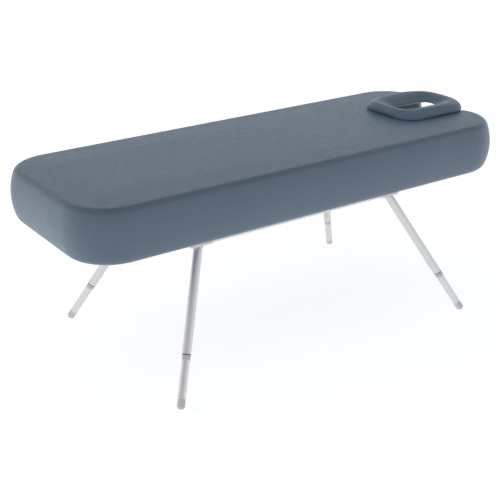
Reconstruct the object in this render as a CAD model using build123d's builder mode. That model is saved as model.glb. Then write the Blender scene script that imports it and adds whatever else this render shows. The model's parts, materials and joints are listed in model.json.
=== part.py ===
import os
from math import asin, cos, radians, sin

from build123d import *

# Portable massage table: an inflatable drop-stitch top on a light aluminium frame with four
# plug-in telescopic legs, and a ring-shaped face cushion over the face notch.
# +X points to the head end, +Z up, origin on the floor under the centre of the top.

# ---- driving dimensions, in millimetres and degrees ----
TOP_LENGTH = 1850.0
TOP_WIDTH = 707.0
TOP_THICKNESS = 193.0
TOP_CORNER_R = 175.0
TOP_BULGE = 22.0
TOP_EDGE_R = 27.0
BASE_EDGE_R = 39.0
BASE_HEIGHT = 527.5
SKIN = 1.2
SKIN_GAP = 0.02
PATH_INSET = 70.0
CUT_MARGIN = 5.0

NOTCH_HALF_WIDTH = 100.0
NOTCH_DEPTH = 262.0
NOTCH_END_R = 70.0
NOTCH_MOUTH_R = 70.0

RING_LENGTH = 344.0
RING_WIDTH = 306.0
RING_SETBACK = 15.0
RING_CORNER_R = 92.0
RING_HOLE_LENGTH = 196.0
RING_HOLE_WIDTH = 90.0
RING_HEIGHT = 36.0
RING_EDGE_R = 15.0
RING_FOOT_R = 5.0
RING_BOARD = 3.0
BOARD_SETBACK = 12.0
BOARD_HOLE_SETBACK = 8.0
RING_TAPE = 2.0
TAPE_SETBACK = 16.0
TAPE_HOLE_SETBACK = 12.0
TAPE_EDGE_GAP = 6.0

RAIL_Y = 207.5
RAIL_WIDTH = 25.0
RAIL_HEIGHT = 45.0
RAIL_WALL = 1.8
RAIL_CORNER_R = 3.0
RAIL_INNER_R = 1.2
RAIL_BASE = 474.0
PAD_THICKNESS = 6.0
PAD_WIDTH = 24.0
PAD_SETBACK = 4.0
PAD_CORNER_R = 4.0
TAPE_THICKNESS = 2.5
TAPE_WIDTH = 22.0
TAPE_CORNER_R = 3.0
HUB_START_X = 385.0
HUB_END_X = 472.0
HUB_INNER_Y = 150.0
HUB_OUTER_Y = 222.5
HUB_STEM = 38.0
HUB_FILLET = 4.0
STEM_GAP = 0.05
STEM_CORNER_R = 1.5
CROSS_X = 428.0
CROSS_WIDTH = 25.0
SCREW_R = 2.5
SCREW_HEAD_R = 4.6
SCREW_HEAD = 2.4
SCREW_LENGTH = 12.0
SCREW_HEAD_FILLET = 1.2
SCREW_TIP_GAP = 0.5
FIT = 0.05

LEG_X = 407.0
LEG_Y = 176.0
LEG_SPLAY = 34.1
LEG_HEADING = 44.6
SOCKET_TOP_S = 28.0
SOCKET_MOUTH_S = 76.0
SOCKET_R = 17.0
SOCKET_SKIRT = 51.0
SPIGOT_R = 14.0
SPIGOT_END_GAP = 1.0
SPIGOT_CHAMFER = 2.0
SPIGOT_PLUG = 25.0
SHOULDER_GAP = 0.2
OUTER_R = 16.0
OUTER_WALL = 1.5
OUTER_START_S = 77.0
OUTER_END_S = 446.0
BUSH_LENGTH = 20.0
BUSH_INNER = 32.0
BUSH_R = 15.2
BUSH_EDGE_R = 0.6
SLIDE_FIT = 0.06
INNER_R = 14.0
INNER_WALL = 1.5
INNER_TOP_S = 250.0
INNER_END_S = 598.0
BUTTON_S = 395.0
BUTTON_R = 3.8
BUTTON_PROUD = 1.8
HOLE_PITCH = 20.0
HOLES = 7
HOLE_CLEARANCE = 0.2
HOLE_CUT = 6.0
BUTTON_FLANGE = 1.4
BUTTON_FLANGE_THICKNESS = 1.2
BUTTON_FLANGE_DEPTH = 2.6
BUTTON_DOME_R = 1.6
FOOT_R = 14.2
FOOT_SOLE = 0.8
PLUG_LENGTH = 22.0
PLUG_COLLAR = 7.0
PLUG_STEM_R = 7.0
PLUG_STEM = 9.0
SPRING_WIDTH = 8.0
SPRING_THICKNESS = 0.8
SPRING_ARM = 46.0
SPRING_TAIL = 7.0
SPRING_PAD = 14.0
SPRING_BACK_GAP = 1.0
SPRING_BEND_R = 2.4

VALVE_X = -700.0
VALVE_R = 24.0
VALVE_DEPTH = 28.0
VALVE_BORE_R = 16.0
VALVE_FLANGE_R = 33.0
VALVE_FLANGE = 1.6
VALVE_FLANGE_FILLET = 0.7
SEAT_TOP = -18.0
SEAT_THICKNESS = 3.0
STEM_R = 3.0
STEM_HOLE_R = 7.0
BUTTON_TOP = -5.0
BUTTON_THICKNESS = 2.0
BUTTON_HEAD_R = 6.5
POPPET_R = 10.0
POPPET_THICKNESS = 2.1
POPPET_GAP = 0.1
COIL_R = 5.0
COIL_WIRE_R = 0.5
COIL_TURNS = 4
COIL_END_GAP = 0.8
CAP_R = 22.0
CAP_HEIGHT = 6.0
CAP_GAP = 0.2
CAP_SKIRT = 2.0
CAP_SKIRT_WALL = 2.3
CAP_CHAMFER = 1.0
GRIP_LENGTH = 34.0
GRIP_WIDTH = 6.0
GRIP_HEIGHT = 4.0

TOP_HEIGHT = BASE_HEIGHT + TOP_THICKNESS
MID_HEIGHT = BASE_HEIGHT + TOP_THICKNESS / 2

os.makedirs("parts", exist_ok=True)


def save(builder, label):
    builder.part.label = label
    export_step(builder.part, f"parts/{label}.step")


# ---- top: section of the rounded, bowed edge all round the slab ----
half = TOP_THICKNESS / 2
bow_r = (half**2 + TOP_BULGE**2) / (2 * TOP_BULGE)


def edge_points(inset):
    """Section of the edge, offset inwards by inset, as (distance in from the widest outline,
    height above mid level) of the flat face's rim and of the bowed side's end, above and below."""
    points = []
    for edge_r, side in ((TOP_EDGE_R, 1), (BASE_EDGE_R, -1)):
        lean = asin((half - edge_r) / (bow_r - edge_r))
        bow_end = bow_r - (bow_r - inset) * cos(lean)
        bow_level = side * (bow_r - inset) * sin(lean)
        rim = bow_r - (bow_r - edge_r) * cos(lean)
        points.append(((rim, side * (half - inset)), (bow_end, bow_level)))
    return points


(top_rim, _), (base_rim, _) = edge_points(0)


def slab_outline(inset):
    """Rounded-rectangle size of the slab's plan at a distance in from its widest outline."""
    return (TOP_LENGTH - 2 * inset, TOP_WIDTH - 2 * inset, TOP_CORNER_R - inset)


path_length, path_width, path_radius = slab_outline(PATH_INSET)


def edge_curve(inset):
    """Edge section from the flat top over the bowed side to the flat base, as three arcs."""
    (rim_t, bow_t), (rim_b, bow_b) = [
        [(PATH_INSET - u, v) for u, v in pair] for pair in edge_points(inset)
    ]
    upper = TangentArc(rim_t, bow_t, tangent=(1, 0))
    side = ThreePointArc(bow_t, (PATH_INSET - inset, 0), bow_b)
    lower = TangentArc(bow_b, rim_b, tangent=side % 1)
    return upper, side, lower


def core_section():
    """Closed section of the air chamber's edge, reaching a little inside its flat middle."""
    with BuildLine() as outline:
        upper, _, lower = edge_curve(SKIN)
        floor = Line(lower @ 1, (-CUT_MARGIN, -half + SKIN))
        wall = Line(floor @ 1, (-CUT_MARGIN, half - SKIN))
        Line(wall @ 1, upper @ 0)
    make_face(outline.edges())


def band_section():
    """Closed section of the wall band, one skin thick."""
    with BuildLine() as outline:
        outer = edge_curve(0)
        inner = edge_curve(SKIN - SKIN_GAP)
        Line(outer[0] @ 0, inner[0] @ 0)
        Line(outer[2] @ 1, inner[2] @ 1)
    make_face(outline.edges())


def all_round(section):
    """Carries an edge section round the slab: along each straight and round the corner after."""
    mid_x = path_length / 2 - path_radius
    mid_y = path_width / 2 - path_radius
    for angle, x, y, run in (
        (-90, mid_x, -mid_y, 2 * mid_x),
        (0, mid_x, mid_y, 2 * mid_y),
        (90, -mid_x, mid_y, 2 * mid_x),
        (180, -mid_x, -mid_y, 2 * mid_y),
    ):
        out = Vector(cos(radians(angle)), sin(radians(angle)), 0)
        centre = Vector(x, y, MID_HEIGHT)
        back = Vector(out.Y, -out.X, 0)
        with BuildSketch(Plane(centre + out * path_radius, out, back)) as edge:
            section()
        extrude(to_extrude=edge.sketch, amount=run)
        revolve(profiles=edge.sketch, axis=Axis(centre, (0, 0, 1)), revolution_arc=90)


notch_start_x = TOP_LENGTH / 2 - NOTCH_DEPTH


def notch_profile(grow, mode=Mode.ADD):
    """Plan of the face notch, open at the head end with a flared mouth."""
    reach = NOTCH_HALF_WIDTH + grow
    corner = NOTCH_END_R + grow
    start_x = notch_start_x - grow
    flare_x = TOP_LENGTH / 2 - NOTCH_MOUTH_R
    flare_y = NOTCH_HALF_WIDTH + NOTCH_MOUTH_R
    flare_r = NOTCH_MOUTH_R - grow
    flare_45 = flare_r * (1 - cos(radians(45)))
    end_x = flare_x + flare_r
    with BuildLine() as outline:
        a = Line((start_x, 0), (start_x, reach - corner))
        b = TangentArc(a @ 1, (start_x + corner, reach), tangent=(0, 1))
        c = Line(b @ 1, (flare_x, reach))
        d = ThreePointArc(
            c @ 1,
            (flare_x + flare_r * sin(radians(45)), reach + flare_45),
            (end_x, flare_y),
        )
        e = Line(d @ 1, (TOP_LENGTH / 2 + CUT_MARGIN, flare_y))
        Line(e @ 1, (TOP_LENGTH / 2 + CUT_MARGIN, 0))
        mirror(about=Plane.XZ)
    make_face(outline.edges(), mode=mode)


def cut_notch(grow):
    with BuildSketch(Plane.XY.offset(BASE_HEIGHT - CUT_MARGIN)) as notch:
        notch_profile(grow)
    depth = TOP_THICKNESS + 2 * CUT_MARGIN
    extrude(to_extrude=notch.sketch, amount=depth, mode=Mode.SUBTRACT)


def disc(plane, start, end, outer, inner=0.0, mode=Mode.ADD):
    """Round bar or tube along a plane's axis, between two distances from the plane."""
    with BuildSketch(plane.offset(start)) as section:
        Circle(outer)
        if inner:
            Circle(inner, mode=Mode.SUBTRACT)
    extrude(to_extrude=section.sketch, amount=end - start, mode=mode)


valve_plane = Plane((VALVE_X, 0, BASE_HEIGHT), (1, 0, 0), (0, 0, -1))

with BuildPart() as bowed_slab:
    with BuildSketch(Plane.XY.offset(BASE_HEIGHT + SKIN)):
        RectangleRounded(path_length, path_width, path_radius)
    extrude(amount=TOP_THICKNESS - 2 * SKIN)
    all_round(core_section)

with BuildPart() as air_core:
    add(bowed_slab.part)
    cut_notch(SKIN)
    disc(valve_plane, -VALVE_DEPTH - SKIN, 0, VALVE_R, mode=Mode.SUBTRACT)
save(air_core, "air_core")

with BuildPart() as wall_band:
    all_round(band_section)
    cut_notch(0)
save(wall_band, "wall_band")

with BuildPart() as top_panel:
    with BuildSketch(Plane.XY.offset(TOP_HEIGHT)):
        RectangleRounded(*slab_outline(top_rim[0] + SKIN_GAP))
    extrude(amount=-SKIN)
    cut_notch(SKIN)
save(top_panel, "top_panel")

with BuildPart() as base_panel:
    with BuildSketch(Plane.XY.offset(BASE_HEIGHT)):
        RectangleRounded(*slab_outline(base_rim[0] + SKIN_GAP))
    extrude(amount=SKIN)
    cut_notch(SKIN)
    disc(valve_plane, -SKIN, 0, VALVE_R, mode=Mode.SUBTRACT)
save(base_panel, "base_panel")

# lining of the notch wall, trimmed to the bowed edge at the mouth
with BuildPart() as notch_lining:
    with BuildSketch(Plane.XY.offset(BASE_HEIGHT)):
        notch_profile(SKIN - SKIN_GAP)
        notch_profile(0, mode=Mode.SUBTRACT)
    extrude(amount=TOP_THICKNESS)
    add(bowed_slab.part, mode=Mode.INTERSECT)
save(notch_lining, "notch_lining")

# ---- inflation valve, set in the base panel near the foot end ----
seat_low = SEAT_TOP + SEAT_THICKNESS

with BuildPart() as valve_body:
    disc(valve_plane, -VALVE_DEPTH, VALVE_FLANGE, VALVE_R - FIT)
    disc(valve_plane, 0, VALVE_FLANGE, VALVE_FLANGE_R)
    disc(valve_plane, -VALVE_DEPTH, VALVE_FLANGE, VALVE_BORE_R, mode=Mode.SUBTRACT)
    disc(valve_plane, SEAT_TOP, seat_low, VALVE_BORE_R, STEM_HOLE_R)
    flange_face = valve_body.faces().sort_by(Axis.Z)[0]
    fillet(flange_face.outer_wire().edges(), radius=VALVE_FLANGE_FILLET)
save(valve_body, "valve_body")

poppet_low = SEAT_TOP - POPPET_GAP
with BuildPart() as valve_poppet:
    disc(valve_plane, poppet_low - POPPET_THICKNESS, poppet_low, POPPET_R)
    disc(valve_plane, poppet_low, BUTTON_TOP, STEM_R)
    disc(valve_plane, BUTTON_TOP, BUTTON_TOP + BUTTON_THICKNESS, BUTTON_HEAD_R)
save(valve_poppet, "valve_poppet")

coil_height = BUTTON_TOP - seat_low - 2 * COIL_END_GAP
with BuildPart() as valve_spring:
    coil_plane = Plane((VALVE_X, 0, BASE_HEIGHT - BUTTON_TOP + COIL_END_GAP))
    with BuildLine(coil_plane):
        coil = Helix(pitch=coil_height / COIL_TURNS, height=coil_height, radius=COIL_R)
    with BuildSketch(Plane(coil @ 0, z_dir=coil % 0)):
        Circle(COIL_WIRE_R)
    sweep(is_frenet=True)
save(valve_spring, "valve_spring")

cap_seat = VALVE_FLANGE + CAP_GAP
cap_top = cap_seat + CAP_HEIGHT
with BuildPart() as valve_cap:
    skirt_r = VALVE_BORE_R - CAP_GAP
    disc(valve_plane, cap_seat, cap_top, CAP_R)
    disc(valve_plane, -CAP_SKIRT, cap_seat, skirt_r, skirt_r - CAP_SKIRT_WALL)
    with BuildSketch(valve_plane.offset(cap_top)):
        SlotOverall(GRIP_LENGTH, GRIP_WIDTH)
    extrude(amount=GRIP_HEIGHT)
    chamfer(valve_cap.faces().sort_by(Axis.Z)[0].edges(), length=CAP_CHAMFER)
save(valve_cap, "valve_cap")

# ---- face cushion, lying over the notch ----
ring_centre = (TOP_LENGTH / 2 - RING_SETBACK - RING_LENGTH / 2, 0, TOP_HEIGHT)
ring_plane = Plane(ring_centre)
hole_corner_r = RING_HOLE_WIDTH / 2 - 1


def ring_profile(setback, hole_setback):
    """Plan of the cushion, drawn in from its outer edge and back from its hole."""
    RectangleRounded(
        RING_LENGTH - 2 * setback, RING_WIDTH - 2 * setback, RING_CORNER_R - setback
    )
    RectangleRounded(
        RING_HOLE_LENGTH + 2 * hole_setback,
        RING_HOLE_WIDTH + 2 * hole_setback,
        hole_corner_r + hole_setback,
        mode=Mode.SUBTRACT,
    )


ring_floor = RING_TAPE + RING_BOARD
with BuildPart() as face_ring:
    with BuildSketch(ring_plane.offset(ring_floor)):
        ring_profile(0, 0)
    extrude(amount=RING_HEIGHT - ring_floor)
    fillet(face_ring.faces().sort_by(Axis.Z)[-1].edges(), radius=RING_EDGE_R)
    fillet(face_ring.faces().sort_by(Axis.Z)[0].edges(), radius=RING_FOOT_R)
save(face_ring, "face_ring")

with BuildPart() as face_ring_board:
    with BuildSketch(ring_plane.offset(RING_TAPE)):
        ring_profile(BOARD_SETBACK, BOARD_HOLE_SETBACK)
    extrude(amount=RING_BOARD)
save(face_ring_board, "face_ring_board")

# hook-and-loop between the board and the flat part of the top, cut away over the notch
with BuildPart() as face_ring_tape:
    with BuildSketch(ring_plane):
        ring_profile(TAPE_SETBACK, TAPE_HOLE_SETBACK)
    extrude(amount=RING_TAPE)
    cut_plane = Plane.XY.offset(TOP_HEIGHT)
    with BuildSketch(cut_plane):
        notch_profile(TAPE_EDGE_GAP)
    extrude(amount=RING_TAPE, mode=Mode.SUBTRACT)
    with BuildSketch(cut_plane):
        with Locations((TOP_LENGTH / 2, 0)):
            Rectangle(2 * (top_rim[0] + TAPE_EDGE_GAP), RING_WIDTH)
    extrude(amount=RING_TAPE, mode=Mode.SUBTRACT)
save(face_ring_tape, "face_ring_tape")

# ---- frame ----
rail_top = RAIL_BASE + RAIL_HEIGHT
rail_mid = RAIL_BASE + RAIL_HEIGHT / 2
stem_width = RAIL_WIDTH - 2 * RAIL_WALL - 2 * STEM_GAP
stem_height = RAIL_HEIGHT - 2 * RAIL_WALL - 2 * STEM_GAP
SIDES = {"near": -1, "far": 1}
ENDS = {"foot": -1, "head": 1}


def box_tube(plane, length, width, height):
    """Rectangular tube with rounded corners, centred on a plane and running along its axis."""
    with BuildSketch(plane.offset(-length / 2)) as section:
        RectangleRounded(width, height, RAIL_CORNER_R)
        RectangleRounded(
            width - 2 * RAIL_WALL,
            height - 2 * RAIL_WALL,
            RAIL_INNER_R,
            mode=Mode.SUBTRACT,
        )
    extrude(to_extrude=section.sketch, amount=length)


def screw_places():
    """Axis points of the screws under the tube ends, on the frame's bottom face."""
    rail_x = HUB_START_X - HUB_STEM / 2
    cross_y = HUB_INNER_Y - HUB_STEM / 2
    for sx in ENDS.values():
        for sy in SIDES.values():
            yield (sx * rail_x, sy * RAIL_Y)
            yield (sx * CROSS_X, sy * cross_y)


screw_plane = Plane.XY.offset(RAIL_BASE)


def cut_screw_holes():
    with BuildSketch(screw_plane) as holes:
        with Locations(*screw_places()):
            Circle(SCREW_R + FIT)
    depth = SCREW_LENGTH + SCREW_TIP_GAP
    extrude(to_extrude=holes.sketch, amount=depth, mode=Mode.SUBTRACT)


for side, sy in SIDES.items():
    with BuildPart() as rail:
        box_tube(
            Plane((0, sy * RAIL_Y, rail_mid), (0, 1, 0), (1, 0, 0)),
            2 * HUB_START_X,
            RAIL_WIDTH,
            RAIL_HEIGHT,
        )
        cut_screw_holes()
    save(rail, f"long_rail_{side}")

for end, sx in ENDS.items():
    with BuildPart() as end_tube:
        box_tube(
            Plane((sx * CROSS_X, 0, rail_mid), (1, 0, 0), (0, 1, 0)),
            2 * HUB_INNER_Y,
            CROSS_WIDTH,
            RAIL_HEIGHT,
        )
        cut_screw_holes()
    save(end_tube, f"end_tube_{end}")

with BuildPart() as centre_tube:
    box_tube(
        Plane((0, 0, rail_mid), (1, 0, 0), (0, 1, 0)),
        2 * RAIL_Y - RAIL_WIDTH,
        CROSS_WIDTH,
        RAIL_HEIGHT,
    )
save(centre_tube, "centre_tube")

with BuildPart() as frame_screws:
    with BuildSketch(screw_plane):
        with Locations(*screw_places()):
            Circle(SCREW_R)
    extrude(amount=SCREW_LENGTH)
    with BuildSketch(screw_plane):
        with Locations(*screw_places()):
            Circle(SCREW_HEAD_R)
    extrude(amount=-SCREW_HEAD)
    head_rims = frame_screws.faces().group_by(Axis.Z)[0].edges()
    fillet(head_rims, radius=SCREW_HEAD_FILLET)
save(frame_screws, "frame_screws")

pad_length = 2 * (HUB_END_X - PAD_SETBACK)
with BuildPart() as rail_pads:
    for sy in SIDES.values():
        with BuildSketch(Plane((0, sy * RAIL_Y, rail_top))):
            RectangleRounded(pad_length, PAD_WIDTH, PAD_CORNER_R)
        extrude(amount=PAD_THICKNESS)
save(rail_pads, "rail_pads")

with BuildPart() as rail_tapes:
    for sy in SIDES.values():
        with BuildSketch(Plane((0, sy * RAIL_Y, rail_top + PAD_THICKNESS))):
            RectangleRounded(pad_length, TAPE_WIDTH, TAPE_CORNER_R)
        extrude(amount=TAPE_THICKNESS)
save(rail_tapes, "rail_tapes")

# ---- corner hubs and legs ----
splay = radians(LEG_SPLAY)
heading = radians(LEG_HEADING)
foot_s = (BASE_HEIGHT - FOOT_R + FOOT_SOLE) / cos(splay)


def leg_plane(sx, sy):
    """Plane at the leg axis under the top: Z runs down the leg, X faces the table's middle."""
    down = Vector(
        sx * sin(splay) * cos(heading), sy * sin(splay) * sin(heading), -cos(splay)
    )
    inner = Vector(
        -sx * cos(splay) * cos(heading), -sy * cos(splay) * sin(heading), -sin(splay)
    )
    return Plane((sx * LEG_X, sy * LEG_Y, BASE_HEIGHT), inner, down)


def side_plane(axis, s, start):
    """Plane across a leg at s, facing out of its inner side, at a distance from its axis."""
    return Plane(
        axis.origin + axis.z_dir * s + axis.x_dir * start, axis.y_dir, axis.x_dir
    )


def hub_stem(x, y, across, out):
    """Stem of a hub that fills the end of a frame tube."""
    with BuildSketch(Plane((x, y, rail_mid), across, out)) as section:
        RectangleRounded(stem_width, stem_height, STEM_CORNER_R)
    extrude(to_extrude=section.sketch, amount=HUB_STEM)


def make_hub(tag, sx, sy, axis):
    with BuildPart() as hub:
        mid_x = sx * (HUB_START_X + HUB_END_X) / 2
        mid_y = sy * (HUB_INNER_Y + HUB_OUTER_Y) / 2
        with BuildSketch(Plane((mid_x, mid_y, RAIL_BASE))):
            RectangleRounded(
                HUB_END_X - HUB_START_X, HUB_OUTER_Y - HUB_INNER_Y, HUB_FILLET
            )
        extrude(amount=RAIL_HEIGHT)
        hub_stem(sx * HUB_START_X, sy * RAIL_Y, (0, 1, 0), (-sx, 0, 0))
        hub_stem(sx * CROSS_X, sy * HUB_INNER_Y, (1, 0, 0), (0, -sy, 0))
        disc(axis, SOCKET_SKIRT, SOCKET_MOUTH_S, SOCKET_R)
        bore_end = SOCKET_MOUTH_S + CUT_MARGIN
        disc(axis, SOCKET_TOP_S, bore_end, SPIGOT_R + FIT, mode=Mode.SUBTRACT)
        cut_screw_holes()
    save(hub, f"corner_hub_{tag}")


def make_upper_leg(tag, axis):
    down = Axis(axis.origin, axis.z_dir)
    bore = OUTER_R - OUTER_WALL
    with BuildPart() as spigot:
        disc(axis, SOCKET_TOP_S + SPIGOT_END_GAP, OUTER_START_S, SPIGOT_R)
        chamfer(spigot.edges().sort_by(down)[0], length=SPIGOT_CHAMFER)
        disc(axis, SOCKET_MOUTH_S + SHOULDER_GAP, OUTER_START_S, OUTER_R)
        disc(axis, OUTER_START_S, OUTER_START_S + SPIGOT_PLUG, bore - FIT)
    save(spigot, f"leg_spigot_{tag}")

    with BuildPart() as outer_tube:
        disc(axis, OUTER_START_S, OUTER_END_S, OUTER_R, bore)
        for k in range(HOLES):
            s = BUTTON_S - k * HOLE_PITCH
            hole = side_plane(axis, s, bore - HOLE_CUT / 2)
            disc(hole, 0, HOLE_CUT, BUTTON_R + HOLE_CLEARANCE, mode=Mode.SUBTRACT)
    save(outer_tube, f"outer_tube_{tag}")

    with BuildPart() as guide_bush:
        slide_r = INNER_R + SLIDE_FIT
        disc(axis, OUTER_END_S - BUSH_INNER, OUTER_END_S, bore - FIT, slide_r)
        disc(axis, OUTER_END_S, OUTER_END_S + BUSH_LENGTH, BUSH_R, slide_r)
        end_face = guide_bush.faces().sort_by(down)[-1]
        fillet(end_face.outer_wire().edges(), radius=BUSH_EDGE_R)
    save(guide_bush, f"guide_bush_{tag}")


def make_lower_leg(tag, axis):
    bore = INNER_R - INNER_WALL
    flange_floor = bore - BUTTON_FLANGE_DEPTH
    flange_top = flange_floor + BUTTON_FLANGE_THICKNESS
    with BuildPart() as inner_tube:
        disc(axis, INNER_TOP_S, INNER_END_S, INNER_R, bore)
        hole = side_plane(axis, BUTTON_S, bore - HOLE_CUT / 2)
        disc(hole, 0, HOLE_CUT, BUTTON_R + FIT, mode=Mode.SUBTRACT)
    save(inner_tube, f"inner_tube_{tag}")

    with BuildPart() as button:
        root = side_plane(axis, BUTTON_S, 0)
        disc(root, flange_floor, flange_top, BUTTON_R + BUTTON_FLANGE)
        disc(root, flange_floor, OUTER_R + BUTTON_PROUD, BUTTON_R)
        rims = button.edges().filter_by(GeomType.CIRCLE)
        outer_rim = rims.sort_by(Axis(axis.origin, axis.x_dir))[-1]
        fillet(outer_rim, radius=BUTTON_DOME_R)
    save(button, f"snap_button_{tag}")

    with BuildPart() as spring:
        leaf_plane = Plane(axis.origin, axis.x_dir, -axis.y_dir)
        with BuildSketch(leaf_plane.offset(-SPRING_WIDTH / 2)):
            with BuildLine():
                reach = flange_floor - SPRING_THICKNESS / 2 - FIT
                back = -bore + SPRING_THICKNESS / 2 + SPRING_BACK_GAP
                low = BUTTON_S + SPRING_TAIL
                tip = BUTTON_S - SPRING_ARM
                front = Line((reach, low), (reach, low - SPRING_PAD))
                arm = Line(front @ 1, (SPRING_BEND_R, tip))
                turn = ThreePointArc(
                    arm @ 1, (0, tip - SPRING_BEND_R), (-SPRING_BEND_R, tip)
                )
                Line(turn @ 1, (back, low))
            trace(line_width=SPRING_THICKNESS)
        extrude(amount=SPRING_WIDTH)
    save(spring, f"snap_spring_{tag}")

    collar_end = INNER_END_S + PLUG_COLLAR
    stem_end = collar_end + PLUG_STEM
    with BuildPart() as foot_plug:
        disc(axis, INNER_END_S - PLUG_LENGTH, INNER_END_S, bore - FIT)
        disc(axis, INNER_END_S, collar_end, FOOT_R)
        disc(axis, collar_end, stem_end, PLUG_STEM_R)
    save(foot_plug, f"foot_plug_{tag}")

    with BuildPart() as rubber_foot:
        collar_plane = Plane(axis.origin + axis.z_dir * collar_end, z_dir=axis.z_dir)
        disc(axis, collar_end, foot_s, FOOT_R)
        with Locations(Plane(axis.origin + axis.z_dir * foot_s)):
            Sphere(FOOT_R)
        bore_r = PLUG_STEM_R + FIT
        disc(axis, collar_end, stem_end + FIT, bore_r, mode=Mode.SUBTRACT)
        split(bisect_by=collar_plane, keep=Keep.TOP)
        split(bisect_by=Plane.XY, keep=Keep.TOP)
    save(rubber_foot, f"rubber_foot_{tag}")


for end, sx in ENDS.items():
    for side, sy in SIDES.items():
        axis = leg_plane(sx, sy)
        tag = f"{end}_{side}"
        make_hub(tag, sx, sy, axis)
        make_upper_leg(tag, axis)
        make_lower_leg(tag, axis)
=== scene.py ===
import json
import math

import bmesh
import bpy
import numpy as np
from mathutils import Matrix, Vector, geometry, noise


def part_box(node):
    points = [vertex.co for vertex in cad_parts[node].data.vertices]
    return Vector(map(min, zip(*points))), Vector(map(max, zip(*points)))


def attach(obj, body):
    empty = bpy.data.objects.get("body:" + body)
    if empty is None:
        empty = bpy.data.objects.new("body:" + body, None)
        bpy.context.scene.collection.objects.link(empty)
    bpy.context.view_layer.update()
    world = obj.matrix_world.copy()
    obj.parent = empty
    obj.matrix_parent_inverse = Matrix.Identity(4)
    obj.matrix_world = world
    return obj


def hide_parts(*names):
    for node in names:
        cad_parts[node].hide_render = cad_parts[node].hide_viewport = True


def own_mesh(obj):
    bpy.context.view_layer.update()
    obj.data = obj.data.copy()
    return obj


# Looks of the portable massage table: coated-vinyl air top, foam face cushion, anodised legs.
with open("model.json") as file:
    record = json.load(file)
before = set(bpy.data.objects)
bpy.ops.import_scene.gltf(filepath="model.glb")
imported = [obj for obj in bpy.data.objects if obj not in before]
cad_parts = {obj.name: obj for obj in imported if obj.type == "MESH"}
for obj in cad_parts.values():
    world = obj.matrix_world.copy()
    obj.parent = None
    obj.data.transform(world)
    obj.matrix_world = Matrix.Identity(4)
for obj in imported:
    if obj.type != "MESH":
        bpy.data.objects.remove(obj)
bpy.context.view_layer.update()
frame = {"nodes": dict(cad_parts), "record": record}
NODES = frame["nodes"]
CORNERS = [f"{end}_{side}" for end in ("foot", "head") for side in ("near", "far")]


# ---------------------------------------------------------------- helpers
def mesh_piece(name, verts, faces, material=None, smooth=True):
    """A new object from vertices and faces, in metres in the table's frame."""
    mesh = bpy.data.meshes.new(name)
    mesh.from_pydata([tuple(v) for v in verts], [], faces)
    mesh.validate()
    mesh.update()
    piece = bpy.data.objects.new(name, mesh)
    bpy.context.scene.collection.objects.link(piece)
    if smooth:
        mesh.polygons.foreach_set("use_smooth", [True] * len(mesh.polygons))
    if material:
        mesh.materials.append(material)
    return piece


def outward(piece):
    """Turns every face of a closed piece to face outwards."""
    work = bmesh.new()
    work.from_mesh(piece.data)
    bmesh.ops.recalc_face_normals(work, faces=work.faces)
    work.to_mesh(piece.data)
    work.free()
    return piece


def smoothstep(t):
    t = np.clip(t, 0.0, 1.0)
    return t * t * (3 - 2 * t)


# ---------------------------------------------------------------- materials
class Finish:
    """A procedural material built node by node; every pattern runs in object metres."""

    def __init__(self, name, color, roughness, **settings):
        self.material = bpy.data.materials.new(name)
        self.material.use_nodes = True
        self.tree = self.material.node_tree
        self.shader = self.tree.nodes["Principled BSDF"]
        self.shader.inputs["Base Color"].default_value = (*color, 1)
        self.shader.inputs["Roughness"].default_value = roughness
        for key, value in settings.items():
            self.shader.inputs[key].default_value = value
        self.coords = self.node("ShaderNodeTexCoord").outputs["Object"]
        self.normal = None

    def node(self, kind, **inputs):
        made = self.tree.nodes.new(kind)
        for key, value in inputs.items():
            socket = made.inputs[key.replace("_", " ")]
            if isinstance(value, bpy.types.NodeSocket):
                self.tree.links.new(value, socket)
            else:
                socket.default_value = value
        return made

    def noise(self, scale, detail=3.0, vector=None, roughness=0.5):
        return self.node(
            "ShaderNodeTexNoise",
            Vector=vector or self.coords,
            Scale=scale,
            Detail=detail,
            Roughness=roughness,
        ).outputs["Fac"]

    def cells(self, scale, vector=None):
        return self.node(
            "ShaderNodeTexVoronoi", Vector=vector or self.coords, Scale=scale
        ).outputs["Distance"]

    def spread(self, value, low, high, at=(0.3, 0.7)):
        """A value's range at= mapped onto low to high."""
        made = self.node("ShaderNodeMapRange", Value=value)
        made.inputs["From Min"].default_value = at[0]
        made.inputs["From Max"].default_value = at[1]
        made.inputs["To Min"].default_value = low
        made.inputs["To Max"].default_value = high
        return made.outputs["Result"]

    def blend(self, factor, first, second, mode="MIX"):
        made = self.tree.nodes.new("ShaderNodeMix")
        made.data_type = "RGBA"
        made.blend_type = mode
        for index, value in ((0, factor), (6, first), (7, second)):
            if isinstance(value, bpy.types.NodeSocket):
                self.tree.links.new(value, made.inputs[index])
            elif index == 0:
                made.inputs[index].default_value = value
            else:
                made.inputs[index].default_value = (*value, 1)
        return made.outputs[2]

    def color(self, socket):
        self.tree.links.new(socket, self.shader.inputs["Base Color"])

    def roughness(self, socket):
        self.tree.links.new(socket, self.shader.inputs["Roughness"])

    def bump(self, height, depth, strength=1.0):
        made = self.node("ShaderNodeBump", Height=height, Distance=depth, Strength=strength)
        if self.normal:
            self.tree.links.new(self.normal, made.inputs["Normal"])
        self.normal = made.outputs["Normal"]
        self.tree.links.new(self.normal, self.shader.inputs["Normal"])


def shade(color, factor):
    return tuple(c * factor for c in color)


VINYL = (0.078, 0.116, 0.161)
GRAIN_SCALE = 900.0


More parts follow.
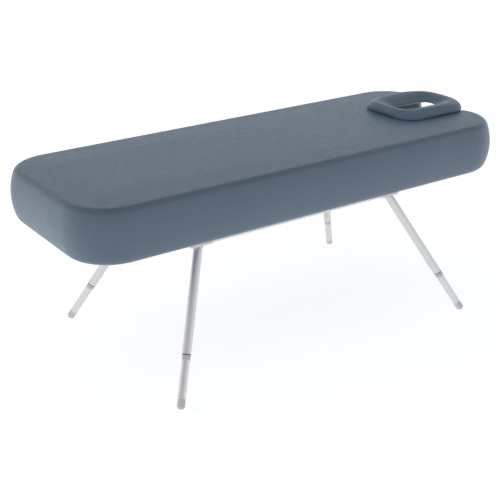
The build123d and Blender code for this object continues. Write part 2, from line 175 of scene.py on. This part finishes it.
def vinyl(name, tone=1.0):
    """Satin coated vinyl: fine leather grain, faint cloudy tone and rubbed lighter spots."""
    base = shade(VINYL, tone)
    made = Finish(name, base, 0.42)
    made.shader.inputs["Specular IOR Level"].default_value = 0.52
    made.shader.inputs["Coat Weight"].default_value = 0.14
    made.shader.inputs["Coat Roughness"].default_value = 0.3
    made.shader.inputs["Sheen Weight"].default_value = 0.14
    made.shader.inputs["Sheen Tint"].default_value = (0.3, 0.65, 1.0, 1)
    made.shader.inputs["Sheen Roughness"].default_value = 0.45
    cloud = made.noise(3.2, 4.0)
    tint = made.blend(made.spread(cloud, 0, 1), shade(base, 0.965), shade(base, 1.035))
    scuff = made.noise(26.0, 6.0)
    tint = made.blend(made.spread(scuff, 0, 0.2, at=(0.6, 0.8)), tint, shade(base, 1.2))
    pores = made.cells(GRAIN_SCALE)
    tint = made.blend(made.spread(pores, 0.25, 0, at=(0, 0.25)), tint, shade(base, 0.75))
    made.color(tint)
    made.roughness(made.spread(made.noise(40.0, 5.0), 0.38, 0.5))
    made.bump(made.noise(7.0, 2.0), 0.0016, 0.3)
    made.bump(pores, 0.00014, 0.4)
    made.bump(made.noise(2600.0, 2.0), 0.00006, 0.5)
    return made.material


def anodised(name, color, roughness=0.33):
    """Satin anodised aluminium with faint drawing lines and a few rubbed marks."""
    made = Finish(name, color, roughness, Metallic=1.0)
    lines = made.noise(520.0, 4.0)
    tint = made.blend(made.spread(lines, 0, 1), shade(color, 0.94), shade(color, 1.04))
    marks = made.noise(90.0, 8.0, roughness=0.65)
    tint = made.blend(made.spread(marks, 0, 0.5, at=(0.62, 0.75)), tint, shade(color, 0.78))
    made.color(tint)
    made.roughness(made.spread(made.noise(150.0, 6.0), roughness - 0.06, roughness + 0.08))
    made.bump(lines, 0.00005, 0.4)
    return made.material


def powder_coat(name, color):
    """Light powder coat on castings: orange-peel texture and slight dirt in the hollows."""
    made = Finish(name, color, 0.42)
    made.shader.inputs["Coat Weight"].default_value = 0.2
    made.shader.inputs["Coat Roughness"].default_value = 0.25
    dirt = made.noise(38.0, 6.0)
    made.color(made.blend(made.spread(dirt, 0, 0.6, at=(0.5, 0.8)), color, shade(color, 0.82)))
    made.roughness(made.spread(made.noise(120.0, 4.0), 0.36, 0.52))
    made.bump(made.noise(850.0, 3.0), 0.0001, 0.5)
    return made.material


def moulded(name, color, roughness=0.5, grain=1400.0):
    """Moulded plastic or rubber with a fine spark-eroded grain and scuffed tone."""
    made = Finish(name, color, roughness)
    wear = made.noise(60.0, 7.0, roughness=0.6)
    made.color(made.blend(made.spread(wear, 0, 0.7, at=(0.5, 0.78)), color, shade(color, 1.3)))
    made.roughness(made.spread(made.noise(200.0, 4.0), roughness - 0.06, roughness + 0.1))
    made.bump(made.cells(grain), 0.00008, 0.5)
    return made.material


def woven(name, color, pitch=0.0011):
    """Coarse fabric of hook-and-loop tape or foam strip: crossed waves with fuzz."""
    made = Finish(name, color, 0.9)
    made.shader.inputs["Sheen Weight"].default_value = 0.3
    waves = []
    for direction in ("X", "Y"):
        wave = made.node("ShaderNodeTexWave", Vector=made.coords, Scale=1 / pitch / 6.28)
        wave.bands_direction = direction
        waves.append(wave.outputs["Fac"])
    product = made.node("ShaderNodeMath")
    product.operation = "MULTIPLY"
    made.tree.links.new(waves[0], product.inputs[0])
    made.tree.links.new(waves[1], product.inputs[1])
    fuzz = made.noise(1500.0, 4.0)
    made.color(made.blend(product.outputs[0], shade(color, 0.7), shade(color, 1.35)))
    made.bump(product.outputs[0], 0.0003, 0.6)
    made.bump(fuzz, 0.0002, 0.5)
    return made.material


VINYL_TOP = vinyl("vinyl_top", 1.0)
VINYL_RING = vinyl("vinyl_ring", 1.1)
# painted shade: vinyl at a fifth of the tone for the notch walls, which are dark only from shadow
VINYL_NOTCH_PAINTED_SHADE = vinyl("vinyl_notch_painted_shade", 0.2)
ALUMINIUM = anodised("anodised_aluminium", (0.69, 0.685, 0.68), 0.42)
ALUMINIUM_INNER = anodised("anodised_inner_tube", (0.7, 0.695, 0.69), 0.38)
ALUMINIUM_RAIL = anodised("anodised_rail", (0.72, 0.72, 0.74), 0.45)
CASTING = powder_coat("powder_coated_casting", (0.66, 0.66, 0.66))
LIGHT_PLASTIC = moulded("light_plastic", (0.52, 0.52, 0.52), 0.45)
DARK_PLASTIC = moulded("dark_plastic", (0.035, 0.035, 0.038), 0.5)
RUBBER = moulded("foot_rubber", (0.52, 0.52, 0.525), 0.62, 900.0)
FOAM = woven("foam_strip", (0.05, 0.05, 0.052), 0.002)
TAPE = woven("hook_loop_tape", (0.02, 0.02, 0.022))
STEEL = anodised("spring_steel", (0.55, 0.55, 0.57), 0.25)
LEG_TOP = (0.407, 0.176, 0.5275)
LEG_SPLAY, LEG_HEADING = math.radians(34.1), math.radians(44.6)
SEAL_END = (0.4492, 0.4498)


def bush_finish():
    """Grey bush whose first few millimetres are a dark seal ring against the outer tube."""
    made = Finish("bush_plastic", (0.5, 0.5, 0.505), 0.42)
    down = (
        math.sin(LEG_SPLAY) * math.cos(LEG_HEADING),
        math.sin(LEG_SPLAY) * math.sin(LEG_HEADING),
        -math.cos(LEG_SPLAY),
    )
    folded = made.node("ShaderNodeVectorMath")
    folded.operation = "ABSOLUTE"
    made.tree.links.new(made.coords, folded.inputs[0])
    moved = made.node("ShaderNodeVectorMath")
    moved.operation = "SUBTRACT"
    made.tree.links.new(folded.outputs[0], moved.inputs[0])
    moved.inputs[1].default_value = LEG_TOP
    along = made.node("ShaderNodeVectorMath")
    along.operation = "DOT_PRODUCT"
    made.tree.links.new(moved.outputs[0], along.inputs[0])
    along.inputs[1].default_value = down
    ring_end = made.spread(along.outputs["Value"], 1, 0, at=SEAL_END)
    wear = made.noise(80.0, 5.0)
    grey = made.blend(made.spread(wear, 0, 1), (0.47, 0.47, 0.475), (0.53, 0.53, 0.535))
    made.color(made.blend(ring_end, grey, (0.02, 0.02, 0.021)))
    made.roughness(made.spread(wear, 0.36, 0.5))
    made.bump(made.cells(1400.0), 0.00006, 0.4)
    return made.material


BUSH = bush_finish()
NODE_FINISHES = {
    "corner_hub": CASTING,
    "long_rail": ALUMINIUM_RAIL,
    "end_tube": ALUMINIUM_RAIL,
    "centre_tube": ALUMINIUM_RAIL,
    "frame_screws": STEEL,
    "rail_pads": FOAM,
    "rail_tapes": TAPE,
    "leg_spigot": CASTING,
    "outer_tube": ALUMINIUM,
    "guide_bush": BUSH,
    "inner_tube": ALUMINIUM_INNER,
    "snap_spring": STEEL,
    "snap_button": STEEL,
    "foot_plug": LIGHT_PLASTIC,
    "rubber_foot": RUBBER,
    "valve_body": DARK_PLASTIC,
    "valve_poppet": LIGHT_PLASTIC,
    "valve_spring": STEEL,
    "valve_cap": DARK_PLASTIC,
    "face_ring_tape": TAPE,
}
for node_name, node in NODES.items():
    for prefix, finish in NODE_FINISHES.items():
        if node_name.startswith(prefix):
            node.data.materials.clear()
            node.data.materials.append(finish)

# ---------------------------------------------------------------- air top
band_low, band_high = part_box("wall_band")
TOP_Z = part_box("top_panel")[1][2]
LENGTH, WIDTH, THICKNESS = band_high - band_low
MID_Z = (band_low[2] + band_high[2]) / 2
HALF = THICKNESS / 2
CORNER_R = 0.175
TOP_EDGE_R = 0.027
BASE_EDGE_R = 0.039
BULGE = 0.022
BOW_R = (HALF**2 + BULGE**2) / (2 * BULGE)
NOTCH_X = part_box("notch_lining")[0][0]
MOUTH_R = 0.070
NOTCH_HALF = 0.100
NOTCH_CORNER = 0.070
NOTCH_SOFTNESS = 0.3
MOUTH_SOFTNESS = 0.8
BLEND_RUN = 0.12
CROWN = 0.0025
CROWN_RUN = 0.13
CAP_SPACING = 0.017
EDGE_ROWS = 9
BOW_ROWS = 14


def line_points(start, end, spacing=0.014):
    start, end = np.array(start), np.array(end)
    run = end - start
    count = max(2, int(np.linalg.norm(run) / spacing))
    out = np.array([run[1], -run[0]]) / np.linalg.norm(run)
    return [(start + run * k / count, out) for k in range(count)]


def arc_points(centre, radius, start, end, side=1.0, step=5.0):
    """Points round an arc; side is -1 where the slab lies outside the arc."""
    count = max(2, int(abs(end - start) / step))
    made = []
    for k in range(count):
        angle = math.radians(start + (end - start) * k / count)
        out = np.array([math.cos(angle), math.sin(angle)])
        made.append((np.array(centre) + out * radius, out * side))
    return made


def slab_outline():
    """Widest outline of the slab with its notch, anticlockwise, as points, outward directions
    and edge softness: 1 on the outside, less along the tighter edges of the notch."""
    x, y = LENGTH / 2, WIDTH / 2
    cx, cy = x - CORNER_R, y - CORNER_R
    mouth_x, mouth_y = x - MOUTH_R, NOTCH_HALF + MOUTH_R
    inner_x = NOTCH_X + NOTCH_CORNER
    inner_y = NOTCH_HALF - NOTCH_CORNER
    outer = (
        line_points((x, mouth_y), (x, cy), 0.008)
        + arc_points((cx, cy), CORNER_R, 0, 90, step=3.5)
        + line_points((cx, y), (-cx, y))
        + arc_points((-cx, cy), CORNER_R, 90, 180, step=3.5)
        + line_points((-x, cy), (-x, -cy))
        + arc_points((-cx, -cy), CORNER_R, 180, 270, step=3.5)
        + line_points((-cx, -y), (cx, -y))
        + arc_points((cx, -cy), CORNER_R, 270, 360, step=3.5)
        + line_points((x, -cy), (x, -mouth_y), 0.008)
    )
    notch = (
        arc_points((mouth_x, -mouth_y), MOUTH_R, 0, 90, step=7)
        + line_points((mouth_x, -NOTCH_HALF), (inner_x, -NOTCH_HALF), 0.01)
        + arc_points((inner_x, -inner_y), NOTCH_CORNER, 270, 180, side=-1, step=6)
        + line_points((NOTCH_X, -inner_y), (NOTCH_X, inner_y), 0.01)
        + arc_points((inner_x, inner_y), NOTCH_CORNER, 180, 90, side=-1, step=6)
        + line_points((inner_x, NOTCH_HALF), (mouth_x, NOTCH_HALF), 0.01)
        + arc_points((mouth_x, mouth_y), MOUTH_R, -90, 0, step=7)
    )
    points = np.array([p for p, _ in outer + notch])
    outs = np.array([o for _, o in outer + notch])
    steps = np.linalg.norm(np.diff(points, axis=0), axis=1)
    along = np.concatenate([[0], np.cumsum(steps)])
    outer_end = along[len(outer)]
    from_mouth = np.minimum(along, outer_end - along)
    soft = MOUTH_SOFTNESS + (1 - MOUTH_SOFTNESS) * smoothstep(from_mouth / BLEND_RUN)
    into_notch = np.minimum(along - outer_end, along[-1] - along)
    notch_soft = MOUTH_SOFTNESS - (MOUTH_SOFTNESS - NOTCH_SOFTNESS) * smoothstep(
        into_notch / (MOUTH_R * 1.9)
    )
    soft[len(outer):] = notch_soft[len(outer):]
    return points, outs, soft, along


def edge_section():
    """(inset, height) down the edge, from the flat top's rim over the bow to the base's rim."""
    lean_top = math.asin((HALF - TOP_EDGE_R) / (BOW_R - TOP_EDGE_R))
    lean_base = math.asin((HALF - BASE_EDGE_R) / (BOW_R - BASE_EDGE_R))
    rows = []
    for edge_r, lean, side in (
        (TOP_EDGE_R, lean_top, 1),
        (BASE_EDGE_R, lean_base, -1),
    ):
        centre = (
            BOW_R - (BOW_R - edge_r) * math.cos(lean),
            (BOW_R - edge_r) * math.sin(lean),
        )
        arc = []
        for k in range(EDGE_ROWS):
            angle = math.pi / 2 + (lean - math.pi / 2) * k / EDGE_ROWS
            arc.append(
                (
                    centre[0] - edge_r * math.cos(angle),
                    side * (centre[1] + edge_r * math.sin(angle)),
                )
            )
        rows.append(arc)
    bow = []
    for k in range(BOW_ROWS + 1):
        angle = lean_top + (-lean_base - lean_top) * k / BOW_ROWS
        bow.append((BOW_R - BOW_R * math.cos(angle), BOW_R * math.sin(angle)))
    return rows[0] + bow + rows[1][::-1]


def cap_points(ring, spacing):
    """Grid points inside a closed ring of 2-D points, at least 0.6 of a spacing off it."""
    low, high = ring.min(axis=0), ring.max(axis=0)
    xs = np.arange(low[0] + spacing / 2, high[0], spacing)
    ys = np.arange(low[1] + spacing / 2, high[1], spacing)
    grid = np.array([(x, y) for x in xs for y in ys])
    x1, y1 = ring[:, 0], ring[:, 1]
    x2, y2 = np.roll(x1, -1), np.roll(y1, -1)
    inside = np.zeros(len(grid), bool)
    for a, b, c, d in zip(x1, y1, x2, y2):
        if b == d:
            continue
        crosses = (b > grid[:, 1]) != (d > grid[:, 1])
        at = (c - a) * (grid[:, 1] - b) / (d - b) + a
        inside ^= crosses & (grid[:, 0] < at)
    grid = grid[inside]
    away = rim_distance(grid, ring)
    return grid[away > 0.6 * spacing]


def rim_distance(points, ring):
    """Distance from each point to the nearest point of a finely sampled ring."""
    return np.sqrt(
        ((points[:, None, :] - ring[None, :, :]) ** 2).sum(axis=2).min(axis=1)
    )


def cap_mesh(ring, spacing):
    """Triangles over a ring with grid points inside: (2-D points, triangles), ring first."""
    inner = cap_points(ring, spacing)
    points = [Vector(p) for p in np.concatenate([ring, inner])]
    count = len(ring)
    edges = [(k, (k + 1) % count) for k in range(count)]
    verts, _, faces, _, _, _ = geometry.delaunay_2d_cdt(
        points, edges, [list(range(count))], 1, 1e-7
    )
    return np.array([tuple(v) for v in verts]), [tuple(f) for f in faces]


def build_slab():
    """Swept cover of the air top, slightly puckered along its welds, with near-black vinyl on its
    notch walls as painted shade for the shadow inside the notch.
    """
    points, outs, soft, along = slab_outline()
    section = edge_section()
    columns = len(points)
    verts = []
    pucker = np.sin(along * 210 + 1.7 * np.sin(along * 23)) * (
        0.55 + 0.45 * np.sin(along * 9.1 + 2)
    )
    slack = np.sin(along * 31 + 2.2 * np.sin(along * 7.3))
    for inset, height in section:
        level = height / HALF
        hem = math.exp(-(((level + 0.86) / 0.13) ** 2)) * 0.0007
        top_hem = math.exp(-(((level - 0.9) / 0.1) ** 2)) * 0.00025
        belly = math.cos(level * math.pi / 2) ** 2 * 0.0006
        wave = pucker * (hem + top_hem) + slack * belly
        reach = inset * soft - wave * (soft > 0.99)
        ring = points - outs * reach[:, None]
        verts.extend((x, y, MID_Z + height) for x, y in ring)
    rows = len(section)
    faces = []
    for row in range(rows - 1):
        for col in range(columns):
            after = (col + 1) % columns
            faces.append(
                (
                    row * columns + col,
                    (row + 1) * columns + col,
                    (row + 1) * columns + after,
                    row * columns + after,
                )
            )
    for row, crown, flip in ((0, CROWN, False), (rows - 1, 0.0, True)):
        start = row * columns
        ring = np.array([verts[start + k][:2] for k in range(columns)])
        flat, triangles = cap_mesh(ring, CAP_SPACING)
        level = verts[start][2]
        index = list(range(start, start + columns))
        inner = flat[columns:]
        rise = crown * smoothstep(rim_distance(inner, ring) / CROWN_RUN)
        for (x, y), z in zip(inner, rise):
            ripple = noise.noise(Vector((x * 5, y * 5, 3.0))) * crown * 0.35
            index.append(len(verts))
            verts.append((x, y, level + z + ripple * (z / crown if crown else 0)))
        for face in triangles:
            ids = [index[k] for k in face]
            faces.append(tuple(ids[::-1] if flip else ids))
    slab = outward(mesh_piece("air_top_cover", verts, faces, VINYL_TOP))
    # second material: near-black vinyl as painted shade on the notch's steep faces, where the
    # shadow inside the notch falls
    slab.data.materials.append(VINYL_NOTCH_PAINTED_SHADE)
    notch_x, notch_y = NOTCH_X + 0.001, NOTCH_HALF + 0.006
    for face in slab.data.polygons:
        x, y, z = face.center
        inside = notch_x - 0.03 < x < LENGTH / 2 - 0.015 and abs(y) < notch_y
        if inside and abs(face.normal.z) < 0.75:
            face.material_index = 1
    return slab


slab = build_slab()
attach(slab, "table")
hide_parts("wall_band", "top_panel", "base_panel", "notch_lining", "air_core")

# ---------------------------------------------------------------- face cushion
ring_low, ring_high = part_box("face_ring")
RING_CENTRE = (ring_low + ring_high) / 2
RING_SIZE = ring_high - ring_low
RING_CORNER = 0.080
HOLE_LENGTH, HOLE_WIDTH, HOLE_CORNER = 0.190, 0.073, 0.036
RING_SWELL = 0.003
# section of the cushion from its outer edge (0) to its hole (1): height over the top in mm
RING_SECTION = (
    (0.0, 6), (0.002, 10), (0.012, 15.5), (0.042, 21.5), (0.09, 27), (0.155, 31), (0.23, 33.6),
    (0.315, 34.4), (0.41, 33.6), (0.51, 31), (0.61, 27), (0.71, 22), (0.8, 17), (0.885, 12.5),
    (0.95, 9.5), (0.99, 7.5), (1.0, 5.5), (0.985, 3.6), (0.94, 2.4), (0.8, 2.2), (0.6, 2.2),
    (0.4, 2.2), (0.2, 2.2), (0.06, 2.4), (0.015, 3.4),
)


def rounded_loop(length, width, radius, per_arc=18, per_side=10):
    """Points of a rounded rectangle, the same number on every loop, for joining loops."""
    x, y = length / 2 - radius, width / 2 - radius
    corners = ((x, y), (-x, y), (-x, -y), (x, -y))
    made = []
    for quarter, corner in enumerate(corners):
        turn = [math.radians(90 * quarter + 90 * k / per_arc) for k in range(per_arc + 1)]
        arc = [np.array(corner) + radius * np.array((math.cos(a), math.sin(a))) for a in turn]
        following = np.array(corners[(quarter + 1) % 4])
        to = following + radius * np.array((math.cos(turn[-1]), math.sin(turn[-1])))
        made += arc[:-1]
        made += [arc[-1] + (to - arc[-1]) * k / per_side for k in range(per_side)]
    return np.array(made)


ring_outer = rounded_loop(
    RING_SIZE[0] - 2 * RING_SWELL, RING_SIZE[1] - 2 * RING_SWELL, RING_CORNER - RING_SWELL
)
ring_inner = rounded_loop(
    HOLE_LENGTH + 2 * RING_SWELL, HOLE_WIDTH + 2 * RING_SWELL, HOLE_CORNER + RING_SWELL
)


def ring_point(column, across, height):
    """A point of the cushion's section at one column of its loops, height in mm."""
    x, y = ring_outer[column] + (ring_inner[column] - ring_outer[column]) * across
    return (RING_CENTRE[0] + x, RING_CENTRE[1] + y, TOP_Z + height / 1000)


def ring_mesh():
    """Ring cushion before it is blown up, its cover closing under the stiffening board."""
    count, rows = len(ring_outer), len(RING_SECTION)
    verts = [ring_point(c, across, up) for across, up in RING_SECTION for c in range(count)]
    faces = [
        (
            r * count + c,
            ((r + 1) % rows) * count + c,
            ((r + 1) % rows) * count + (c + 1) % count,
            r * count + (c + 1) % count,
        )
        for r in range(rows)
        for c in range(count)
    ]
    return outward(mesh_piece("face_cushion_cover", verts, faces, VINYL_RING))


def inflate(piece, voxel, pressure, cap, frames=20):
    """Blows a closed piece up as cloth, keeps every point within cap of its place, and
    leaves the swollen shape on the mesh with one subdivision."""
    bpy.context.view_layer.objects.active = piece
    piece.select_set(True)
    remesh = piece.modifiers.new("remesh", "REMESH")
    remesh.mode = "VOXEL"
    remesh.voxel_size = voxel
    bpy.ops.object.modifier_apply(modifier="remesh")
    rest = np.array([v.co for v in piece.data.vertices])
    cloth = piece.modifiers.new("cloth", "CLOTH")
    cloth.settings.quality = 6
    cloth.settings.mass = 0.25
    cloth.settings.tension_stiffness = 18
    cloth.settings.compression_stiffness = 18
    cloth.settings.shear_stiffness = 8
    cloth.settings.bending_stiffness = 1.2
    cloth.settings.use_pressure = True
    cloth.settings.uniform_pressure_force = pressure
    cloth.settings.effector_weights.gravity = 0
    cloth.point_cache.frame_start = 1
    cloth.point_cache.frame_end = frames
    scene = bpy.context.scene
    for step in range(1, frames + 1):
        scene.frame_set(step)
    bpy.ops.object.modifier_apply(modifier="cloth")
    scene.frame_set(1)
    now = np.array([v.co for v in piece.data.vertices])
    move = now - rest
    far = np.linalg.norm(move, axis=1)
    scale = np.minimum(1.0, cap / np.maximum(far, 1e-9))
    now = rest + move * scale[:, None]
    piece.data.vertices.foreach_set("co", now.ravel())
    piece.data.update()
    smooth = piece.modifiers.new("smooth", "SMOOTH")
    smooth.factor = 0.5
    smooth.iterations = 4
    bpy.ops.object.modifier_apply(modifier="smooth")
    divide = piece.modifiers.new("divide", "SUBSURF")
    divide.levels = 1
    divide.render_levels = 1
    bpy.ops.object.modifier_apply(modifier="divide")
    piece.data.polygons.foreach_set("use_smooth", [True] * len(piece.data.polygons))
    piece.select_set(False)


ring = ring_mesh()
inflate(ring, voxel=0.004, pressure=4.0, cap=RING_SWELL * 1.2)


def column_near(x, y):
    """Column of the cushion's loops nearest to a place given from its centre."""
    away = ring_outer - np.array((x, y))
    return int((away**2).sum(axis=1).argmin())


def strand(name, points, radius, material, closed=False):
    """A fine tube along points, as a mesh."""
    curve = bpy.data.curves.new(name, "CURVE")
    curve.dimensions = "3D"
    curve.bevel_depth = radius
    curve.bevel_resolution = 2
    line = curve.splines.new("POLY")
    line.points.add(len(points) - 1)
    for point, place in zip(line.points, points):
        point.co = (*place, 1)
    line.use_cyclic_u = closed
    source = bpy.data.objects.new(name, curve)
    mesh = bpy.data.meshes.new_from_object(source)
    bpy.data.objects.remove(source)
    bpy.data.curves.remove(curve)
    mesh.materials.append(material)
    mesh.polygons.foreach_set("use_smooth", [True] * len(mesh.polygons))
    piece = bpy.data.objects.new(name, mesh)
    bpy.context.scene.collection.objects.link(piece)
    return piece


def on_cushion(point, depth):
    """The nearest place on the blown-up cushion's cover, sunk in by depth."""
    _, place, normal, _ = ring.closest_point_on_mesh(Vector(point))
    return place - normal * depth


# piping round the foot of the cushion, and the raised join of its wall at one head-end corner
piping = strand(
    "face_cushion_piping",
    [on_cushion(ring_point(c, 0.0, 5.5), 0.0004) for c in range(len(ring_outer))],
    0.0015,
    VINYL_RING,
    closed=True,
)
join_column = column_near(RING_SIZE[0] / 2 - 0.03, -RING_SIZE[1] / 2 + 0.03)
join_ridges = [
    strand(
        f"face_cushion_join_{label}",
        [
            on_cushion(ring_point(join_column + offset, across, up), 0.0003)
            for across, up in RING_SECTION[:6]
        ],
        0.0011,
        VINYL_RING,
    )
    for label, offset in (("a", -1), ("b", 1))
]
for trim in (piping, *join_ridges):
    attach(trim, "face_cushion")
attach(ring, "face_cushion")
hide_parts("face_ring", "face_ring_board")

# ---------------------------------------------------------------- springs
def closing_spring(name, node_name, body, joint_name, toward):
    """Copy of a steel spring, carried by the joint's body in place of its CAD node; it does not
    shorten. toward is 1 where its far end along the joint's axis would stay put, -1 where its near
    end would; the end it finds is not used."""
    piece = bpy.data.objects.new(name, NODES[node_name].data.copy())
    bpy.context.scene.collection.objects.link(piece)
    joint = next(j for j in frame["record"]["behaviour"]["joints"] if j["name"] == joint_name)
    axis = np.array(joint["axis"], float)
    points = np.array([v.co for v in piece.data.vertices])
    along = points @ axis
    anchor = points[(along * toward).argmax()]
    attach(piece, body)
    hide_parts(node_name)
    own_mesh(piece)


for corner in CORNERS:
    closing_spring(
        f"button_spring_{corner}",
        f"snap_spring_{corner}",
        f"lower_leg_{corner}",
        f"button_press_{corner}",
        1,
    )
closing_spring("poppet_spring", "valve_spring", "valve_poppet", "valve_poppet_press", -1)

# ---------------------------------------------------------------- floor, light, camera
FLOOR_HALF = 14.0
floor_paint = Finish("pale_floor", (0.9, 0.9, 0.9), 0.9)
floor_tone = floor_paint.noise(0.8, 2.0)
floor_paint.color(
    floor_paint.blend(floor_tone, (0.89, 0.89, 0.89), (0.91, 0.91, 0.91))
)
floor_paint.shader.inputs["Emission Color"].default_value = (1, 1, 1, 1)
floor_paint.shader.inputs["Emission Strength"].default_value = 0.53
floor = mesh_piece(
    "floor",
    [
        (-FLOOR_HALF, -FLOOR_HALF, 0),
        (FLOOR_HALF, -FLOOR_HALF, 0),
        (FLOOR_HALF, FLOOR_HALF, 0),
        (-FLOOR_HALF, FLOOR_HALF, 0),
    ],
    [(0, 1, 2, 3)],
    floor_paint.material,
    smooth=False,
)


def studio_world():
    """Pale studio: bright at and below the horizon, dimmer overhead."""
    world = bpy.data.worlds.new("studio")
    world.use_nodes = True
    tree = world.node_tree
    background = tree.nodes["Background"]
    coords = tree.nodes.new("ShaderNodeTexCoord")
    split = tree.nodes.new("ShaderNodeSeparateXYZ")
    ramp = tree.nodes.new("ShaderNodeValToRGB")
    tree.links.new(coords.outputs["Generated"], split.inputs[0])
    tree.links.new(split.outputs["Z"], ramp.inputs[0])
    ramp.color_ramp.elements[0].position = 0.15
    ramp.color_ramp.elements[0].color = (0.96, 0.985, 1.02, 1)
    ramp.color_ramp.elements[1].position = 0.7
    ramp.color_ramp.elements[1].color = (0.44, 0.45, 0.47, 1)
    tree.links.new(ramp.outputs[0], background.inputs[0])
    background.inputs[1].default_value = 1.0
    bpy.context.scene.world = world


def softbox(name, place, size, power, color, target=(0, 0, 0.6)):
    data = bpy.data.lights.new(name, "AREA")
    data.shape = "RECTANGLE"
    data.size, data.size_y = size
    data.energy = power
    data.color = color
    lamp = bpy.data.objects.new(name, data)
    lamp.location = place
    aim = Vector(target) - Vector(place)
    lamp.rotation_euler = aim.to_track_quat("-Z", "Y").to_euler()
    lamp.visible_glossy = False
    bpy.context.scene.collection.objects.link(lamp)
    return lamp


studio_world()
softbox("foot_end_softbox", (-4.4, 2.4, 1.4), (2.4, 2.4), 46, (1.0, 0.94, 0.86))

CAMERA_PLACE = (-2.1256, -2.99, 1.832)
CAMERA_AZIMUTH = -35.598
CAMERA_ELEVATION = 25.505
SENSOR = 36.0
LENS = 73.55
SHIFT = (-0.04, 0.09)

camera_data = bpy.data.cameras.new("camera")
camera_data.sensor_width = SENSOR
camera_data.lens = LENS
camera_data.shift_x, camera_data.shift_y = SHIFT
camera_data.clip_start = 0.05
camera_data.clip_end = 100
camera = bpy.data.objects.new("camera", camera_data)
azimuth, elevation = math.radians(CAMERA_AZIMUTH), math.radians(CAMERA_ELEVATION)
look = Vector(
    (
        -math.sin(azimuth) * math.cos(elevation),
        math.cos(azimuth) * math.cos(elevation),
        -math.sin(elevation),
    )
)
camera.location = CAMERA_PLACE
camera.rotation_euler = look.to_track_quat("-Z", "Y").to_euler()
bpy.context.scene.collection.objects.link(camera)
bpy.context.scene.camera = camera
bpy.context.scene.view_settings.view_transform = "Standard"
